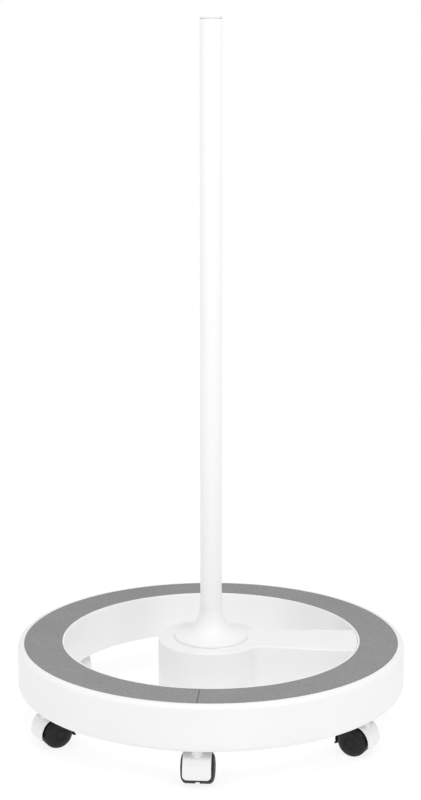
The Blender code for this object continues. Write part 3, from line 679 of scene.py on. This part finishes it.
def pole_bolt():
    """Hexagon bolt with a chamfered head."""
    low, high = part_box("pole_bolt")
    across_corners = reach("pole_bolt")[1]
    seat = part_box("pole_washer")[0].z - SEAM
    head = cylinder("pole_bolt_fine", across_corners, low.z, seat, 6)
    chamfer_r = across_corners * math.cos(math.pi / 6) * BOLT_CHAMFER_R
    chamfer_reach = across_corners * BOLT_CHAMFER_REACH
    chamfer = [(chamfer_r, low.z - OVERLAP), (chamfer_reach, low.z - OVERLAP),
               (chamfer_reach, low.z + BOLT_CHAMFER_HEIGHT), (chamfer_r, low.z)]
    inside_head, point = seat - 2 * OVERLAP, POLE_BOLT_POINT
    shank = [(0, inside_head), (POLE_BOLT_R, inside_head), (POLE_BOLT_R, high.z - point),
             (POLE_BOLT_R - point, high.z), (0, high.z)]
    mesh = combined("pole_bolt_fine", head, [(turned("shank", shank, SMALL_STEPS), IN_PLACE)],
                    [(turned("chamfer", chamfer, SMALL_STEPS), IN_PLACE)])
    piece("pole_bolt_fine", mesh, "zinc_steel", "base", "pole_bolt")


# ---------------------------------------------------------------- pole

def pole_tube():
    low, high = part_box("pole_tube")
    radius = high.x
    inner = radius - POLE_WALL
    outline = rounded([(inner, low.z, 0), (radius, low.z, 0), (radius, high.z, POLE_TOP_ROUND),
                       (inner, high.z, POLE_BORE_ROUND)])
    mesh = turned("pole_tube_fine", outline, POLE_STEPS)
    piece("pole_tube_fine", mesh, "white_paint", "base", "pole_tube")


def pole_collar():
    """The white trim that flares from the pole down to a low rim on the hub, hollow underneath."""
    low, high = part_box("pole_collar")
    base, top, rim_r = low.z, high.z, high.x
    bore, foot = reach("pole_collar")[0] - SEAM, base - SEAM + CLOSE_FIT
    rim_top, edge = base + COLLAR_RIM_HEIGHT, COLLAR_RIM_ROUND
    throat = (COLLAR_THROAT[0], base + COLLAR_THROAT[1])
    flare = (COLLAR_FLARE[0], base + COLLAR_FLARE[1])
    start = (bore + COLLAR_TOP_WIDTH, top - COLLAR_TOP_EDGE)
    outline = [(bore, top), (bore + COLLAR_TOP_EDGE, top)]
    outline += bezier(start, throat, flare, (rim_r - edge, rim_top), 40)
    outline += arc((rim_r - edge, rim_top - edge), edge, 75, 0, 6) + [(rim_r, foot), (COLLAR_HOLLOW_R, foot)]
    outline += [(COLLAR_HOLLOW_TOP[0], base + COLLAR_HOLLOW_TOP[1]), (bore, base + COLLAR_HOLLOW_HEIGHT)]
    mesh = turned("pole_collar_fine", outline, HUB_STEPS)
    piece("pole_collar_fine", mesh, "white_shell", "base", "pole_collar")


def top_bush():
    """The bush in the pole's top: a sleeve inside the tube, and a rim on its end as wide as the pole."""
    low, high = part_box("top_bush")
    bore, pole_r = reach("top_bush")
    sleeve, seat = pole_r - POLE_WALL - SEAM, high.z - BUSH_RIM
    outline = rounded([(bore, low.z, POLE_TOP_ROUND), (sleeve, low.z, BUSH_EDGE), (sleeve, seat, 0),
                       (pole_r, seat, SMALL_ROUND / 2), (pole_r, high.z, BUSH_EDGE),
                       (bore, high.z, BUSH_EDGE)])
    mesh = turned("top_bush_fine", outline, BUSH_STEPS)
    piece("top_bush_fine", mesh, "bush_plastic", "base", "top_bush")


# ---------------------------------------------------------------- castors

def bent_band(name, axle, inner_r, outer_r, start, end, half_width, corner_r, steps):
    """A band bent round the axle, from start to end in degrees, with rounded edges and corners."""
    bm = bmesh.new()
    middle_r = (inner_r + outer_r) / 2
    half = (outer_r - inner_r) / 2
    length = math.radians(end - start) * middle_r
    edge, edge_steps, corner_steps = half * 0.7, 4, 8
    stations = [edge * (1 - math.cos(math.pi / 2 * i / edge_steps)) for i in range(edge_steps + 1)]
    stations += [edge + (corner_r - edge) * i / corner_steps for i in range(1, corner_steps + 1)]
    inner_count = max(4, int(steps * (length - 2 * corner_r) / length))
    middle_part = [corner_r + (length - 2 * corner_r) * i / inner_count for i in range(1, inner_count)]
    stations = stations + middle_part + [length - s for s in reversed(stations)]
    rings = []
    for s in stations:
        from_end = min(s, length - s)
        thin = half if from_end >= edge else half - edge + math.sqrt(edge ** 2 - (edge - from_end) ** 2)
        width = half_width
        if from_end < corner_r:
            width -= corner_r - math.sqrt(corner_r ** 2 - (corner_r - from_end) ** 2)
        angle = math.radians(start) + s / middle_r
        round_r = min(edge, thin * 0.95)
        section = rounded([(-width, -thin, round_r), (width, -thin, round_r), (width, thin, round_r),
                           (-width, thin, round_r)], 3)
        ring = []
        for across, out in section:
            r = middle_r + out
            ring.append(bm.verts.new((axle[0] + r * math.cos(angle), across, axle[1] + r * math.sin(angle))))
        rings.append(ring)
    for near, far in zip(rings, rings[1:]):
        for k in range(len(near)):
            j = (k + 1) % len(near)
            bm.faces.new((near[k], far[k], far[j], near[j]))
    bm.faces.new(rings[0])
    bm.faces.new(rings[-1])
    return mesh_from(bm, name)


def hood_mesh(trail, wheel_r, half_width, neck_top):
    """The white hood over both wheels, with the neck that takes the stem."""
    axle = (-trail, wheel_r)
    inner, outer = wheel_r + HOOD_CLEARANCE, wheel_r + HOOD_CLEARANCE + HOOD_THICKNESS
    band = bent_band("castor_hood", axle, inner, outer, HOOD_FRONT_ANGLE, HOOD_TAIL_ANGLE, half_width,
                     HOOD_CORNER_R, steps=44)
    neck_low = axle[1] + outer * NECK_START
    neck = rounded([(0, neck_low, 0), (NECK_R, neck_low, 0), (NECK_R, neck_top, 2 * SMALL_ROUND),
                    (0, neck_top, 0)])
    under = side_plate("under", arc(axle, (inner + outer) / 2, 0, 360, 96)[:-1], half_width * 2)
    neck_mesh = combined("neck", turned("neck", neck, SMALL_STEPS), cuts=[(under, IN_PLACE)])
    bore = cylinder("bore", STEM_R + SEAM, neck_low - LONG_OVERRUN, neck_top + LONG_OVERRUN, BORE_STEPS)
    return combined("castor_hood", band, [(neck_mesh, IN_PLACE)], [(bore, IN_PLACE)])


def painted_shade_web_mesh(trail, wheel_r):
    """The plate between the wheels: it fills the hood, carries the axle and closes the gap below. Its black
    is painted shade, a dark sheet where the gap between the wheels lies in shadow.
    """
    axle, reach_r = (-trail, wheel_r), wheel_r + HOOD_CLEARANCE - SEAM
    outline = arc(axle, reach_r, HOOD_FRONT_ANGLE + WEB_INSET_ANGLE, HOOD_TAIL_ANGLE - WEB_INSET_ANGLE, 40)
    outline += arc(axle, WEB_BOSS_R, HOOD_TAIL_ANGLE, WEB_KEEL_START_ANGLE, 12)
    outline += arc(axle, WEB_KEEL_R, WEB_KEEL_START_ANGLE, HOOD_FRONT_ANGLE + 360, 20)
    bore = cylinder("bore", AXLE_BORE_R, -LONG_OVERRUN, LONG_OVERRUN, BORE_STEPS)
    across = Matrix.Translation((axle[0], 0, axle[1])) @ Matrix.Rotation(math.pi / 2, 4, "X")
    plate = side_plate("castor_web", outline, WEB_HALF_THICKNESS)
    return combined("castor_web", plate, cuts=[(bore, across)])


def wheel_mesh(wheel_r, inner_y, outer_y):
    """A wheel turned about Z, its outer face up, with a shallow dish and a raised centre on that face."""
    corner = (wheel_r - WHEEL_SHOULDER_DEPTH, outer_y - WHEEL_SHOULDER_WIDTH)
    shoulder, shoulder_steps = [], 14
    for i in range(shoulder_steps + 1):
        a = math.radians(90 * i / shoulder_steps)
        shoulder.append((corner[0] + WHEEL_SHOULDER_DEPTH * math.cos(a),
                         corner[1] + WHEEL_SHOULDER_WIDTH * math.sin(a)))
    edge, dish_y = WHEEL_EDGE, outer_y - WHEEL_DISH_DEPTH
    outline = [(AXLE_BORE_R, inner_y), (wheel_r - edge, inner_y)]
    outline += arc((wheel_r - edge, inner_y + edge), edge, -60, 0, 4) + shoulder
    outline += [(WHEEL_DISH_R[0], outer_y), (WHEEL_DISH_R[1], dish_y), (WHEEL_CENTRE_R[0], dish_y)]
    outline += [(WHEEL_CENTRE_R[1], outer_y - WHEEL_CROWN_FALL), (WHEEL_CROWN_R, outer_y), (0, outer_y)]
    outline += [(0, AXLE_BORE_END), (AXLE_BORE_R, AXLE_BORE_END)]
    return turned("castor_wheel", outline, BUSH_STEPS)


def socket_mesh(low, high, flange_r):
    """The socket that a stem turns in: a sleeve that stands on a wider flange."""
    bore, seat = STEM_R + SEAM, low + SOCKET_FLANGE
    lower, upper = SOCKET_FLANGE_ROUNDS
    outline = rounded([(bore, low, SMALL_ROUND), (flange_r, low, lower), (flange_r, seat, upper),
                       (SOCKET_SLEEVE_R, seat, 0), (SOCKET_SLEEVE_R, high, SMALL_ROUND), (bore, high, 0)])
    return turned("castor_socket", outline, SMALL_STEPS)


def stem_mesh(low, high):
    """The stem that a castor turns on, with a groove near its top for the snap ring."""
    groove, groove_r = high - STEM_GROOVE_FROM_TOP, STEM_R - STEM_GROOVE_DEPTH
    groove_high = groove + STEM_GROOVE_WIDTH
    outline = rounded([(0, low, 0), (STEM_R, low, 0), (STEM_R, groove, 0), (groove_r, groove, 0),
                       (groove_r, groove_high, 0), (STEM_R, groove_high, 0), (STEM_R, high, STEM_END_ROUND),
                       (0, high, 0)])
    return turned("castor_stem", outline, SMALL_STEPS)


def lever_mesh(trail, wheel_r):
    """The lock lever: a band behind the wheels with a lip, and a rib that turns on the web's boss."""
    axle = (-trail, wheel_r)
    inner, outer = wheel_r + HOOD_CLEARANCE + SEAM, wheel_r + HOOD_CLEARANCE + HOOD_THICKNESS
    band = bent_band("lock_lever", axle, inner, outer, LEVER_START_ANGLE, LEVER_END_ANGLE, LEVER_HALF_WIDTH,
                     LEVER_CORNER_R, steps=24)
    lip_start, lip_end = (LEVER_END_ANGLE - angle for angle in LEVER_LIP_ANGLES)
    lip = arc(axle, LEVER_LIP_R, lip_start, lip_end, 4) + arc(axle, outer - OVERLAP, lip_end, lip_start, 4)
    rib_start, rib_end = LEVER_START_ANGLE + WEB_INSET_ANGLE, LEVER_END_ANGLE - WEB_INSET_ANGLE
    rib = arc(axle, inner + OVERLAP, rib_start, rib_end, 16)
    rib += arc(axle, WEB_BOSS_R + SEAM, rib_end, rib_start, 16)
    return combined("lock_lever", band, [(side_plate("lip", lip, LEVER_HALF_WIDTH - OVERLAP), IN_PLACE),
                                         (side_plate("rib", rib, WEB_HALF_THICKNESS), IN_PLACE)])


def castors():
    """Every castor, from one set of meshes that is placed as the frame says."""
    measured = 5            # this castor's hood faces square along an axis, so its box is its size
    straight = f"castor_{measured}"
    hood_low, hood_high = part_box(f"{straight}_hood")
    half_width = (hood_high.x - hood_low.x) / 2
    wheel_low, wheel_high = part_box(f"{straight}_wheel_left")
    middle = (hood_low.x + hood_high.x) / 2
    inner_y, outer_y = sorted((abs(wheel_low.x - middle), abs(wheel_high.x - middle)))
    wheel_r = joint(f"{straight}_left_spin")["pos_m"][2]
    trail = castor_place(measured)[1]
    socket_low, socket_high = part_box(f"{straight}_socket")
    stem_low, stem_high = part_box(f"{straight}_stem")
    hood = hood_mesh(trail, wheel_r, half_width, hood_high.z)
    painted_shade_web = painted_shade_web_mesh(trail, wheel_r)
    wheel = wheel_mesh(wheel_r, inner_y, outer_y)
    socket = socket_mesh(socket_low.z, socket_high.z, (socket_high.x - socket_low.x) / 2)
    stem = stem_mesh(stem_low.z, stem_high.z)
    lever = lever_mesh(trail, wheel_r)
    for number in castor_numbers():
        name, body = f"castor_{number}", f"castor_{number}"
        place, _ = castor_place(number)
        spin = place @ Matrix.Translation((-trail, 0, wheel_r)) @ Matrix.Rotation(-math.pi / 2, 4, "X")
        piece(f"{name}_socket_fine", socket, "bush_plastic", "base", f"{name}_socket", place)
        piece(f"{name}_stem_fine", stem, "zinc_steel", body, f"{name}_stem", place)
        piece(f"{name}_hood_fine", hood, "white_shell", body, f"{name}_hood", place)
        # the web's black is painted shade for the shadowed gap between the wheels
        piece(f"{name}_painted_shade_web_fine", painted_shade_web, "black_plastic", body, f"{name}_hood", place)
        piece(f"{name}_wheel_left_fine", wheel, "black_plastic", f"{body}_left", f"{name}_wheel_left", spin)
        piece(f"{name}_wheel_right_fine", wheel, "black_plastic", f"{body}_right", f"{name}_wheel_right",
              spin @ Matrix.Rotation(math.pi, 4, "X"))
        keep_node(f"{name}_axle", "zinc_steel")
        if f"{name}_lock_lever" in frame["nodes"]:
            piece(f"{name}_lock_lever_fine", lever, "black_plastic", f"{body}_lever", f"{name}_lock_lever",
                  place)


# ---------------------------------------------------------------- stage, light and camera

def floor():
    """A wide round floor, plain and glowing like a light table, with the least unevenness."""
    bm = bmesh.new()
    bmesh.ops.create_circle(bm, cap_ends=True, segments=96, radius=FLOOR_R)
    mesh = mesh_from(bm, "floor")
    obj = bpy.data.objects.new("floor", mesh)
    bpy.context.scene.collection.objects.link(obj)
    finish = Finish("pale_floor", 0.9, specular=0.1)
    finish.colour(finish.blend(finish.noise(3, 3), grey(0.19), grey(0.21)))
    finish.shader.inputs["Emission Color"].default_value = (1.0, 1.0, 1.0, 1.0)
    finish.shader.inputs["Emission Strength"].default_value = FLOOR_GLOW
    mesh.materials.append(finish.material)


def softbox(name, place, target, size, power):
    """A round area light that shines from its place at the target."""
    light = bpy.data.lights.new(name, "AREA")
    light.shape = "DISK"
    light.size = size
    light.energy = power
    obj = bpy.data.objects.new(name, light)
    bpy.context.scene.collection.objects.link(obj)
    obj.location = place
    obj.rotation_mode = "QUATERNION"
    obj.rotation_quaternion = (Vector(target) - Vector(place)).to_track_quat("-Z", "Y")


def lights():
    """A white sky, dimmer overhead than at the horizon, a softbox at each side in front and one above."""
    world = bpy.data.worlds.new("studio")
    world.use_nodes = True
    nodes, links = world.node_tree.nodes, world.node_tree.links
    background = nodes["Background"]
    background.inputs["Color"].default_value = (1.0, 1.0, 1.0, 1.0)
    direction = nodes.new("ShaderNodeTexCoord")
    height = nodes.new("ShaderNodeSeparateXYZ")
    fade = nodes.new("ShaderNodeMapRange")
    for key, number in zip(("From Min", "From Max", "To Min", "To Max"), (*SKY_FADE, *SKY_STRENGTH)):
        fade.inputs[key].default_value = number
    links.new(direction.outputs["Generated"], height.inputs["Vector"])
    links.new(height.outputs["Z"], fade.inputs["Value"])
    links.new(fade.outputs["Result"], background.inputs["Strength"])
    bpy.context.scene.world = world
    low_on_pole = (0, 0, 0.1)
    softbox("key", (1.33, -1.70, 2.04), low_on_pole, size=0.9, power=14.5)
    softbox("fill", (-1.33, -1.70, 2.04), low_on_pole, size=0.9, power=10)
    softbox("overhead", (0.2, -0.4, 3.2), low_on_pole, size=2.0, power=22)
    bpy.context.scene.view_settings.view_transform = "Standard"


def camera():
    """The camera stands a little to the right of the middle and looks slightly down."""
    azimuth, elevation, distance, sidestep = math.radians(4.0), math.radians(10.657), 2.1624, 0.0007
    target = Vector((0, 0, 0.4193))
    back = Vector((math.sin(azimuth) * math.cos(elevation), -math.cos(azimuth) * math.cos(elevation),
                   math.sin(elevation)))
    to_the_left = Vector((-math.cos(azimuth), -math.sin(azimuth), 0)) * sidestep
    data = bpy.data.cameras.new("camera")
    data.lens = 76.8
    data.sensor_width = 36
    obj = bpy.data.objects.new("camera", data)
    bpy.context.scene.collection.objects.link(obj)
    obj.location = target + back * distance + to_the_left
    obj.rotation_mode = "QUATERNION"
    obj.rotation_quaternion = (-back).to_track_quat("-Z", "Y")
    bpy.context.scene.camera = obj


ring_shell()
tread_halves()
base_plate()
plate_screws()
keep_node("ballast_ring", "cast_iron")
hub_arm()
flat_ring("hub_plate")
flat_ring("pole_washer")
pole_bolt()
for node in ("arm_bolt_left", "arm_bolt_right", "pole_foot"):
    keep_node(node, "zinc_steel")
pole_tube()
pole_collar()
top_bush()
castors()
floor()
lights()
camera()
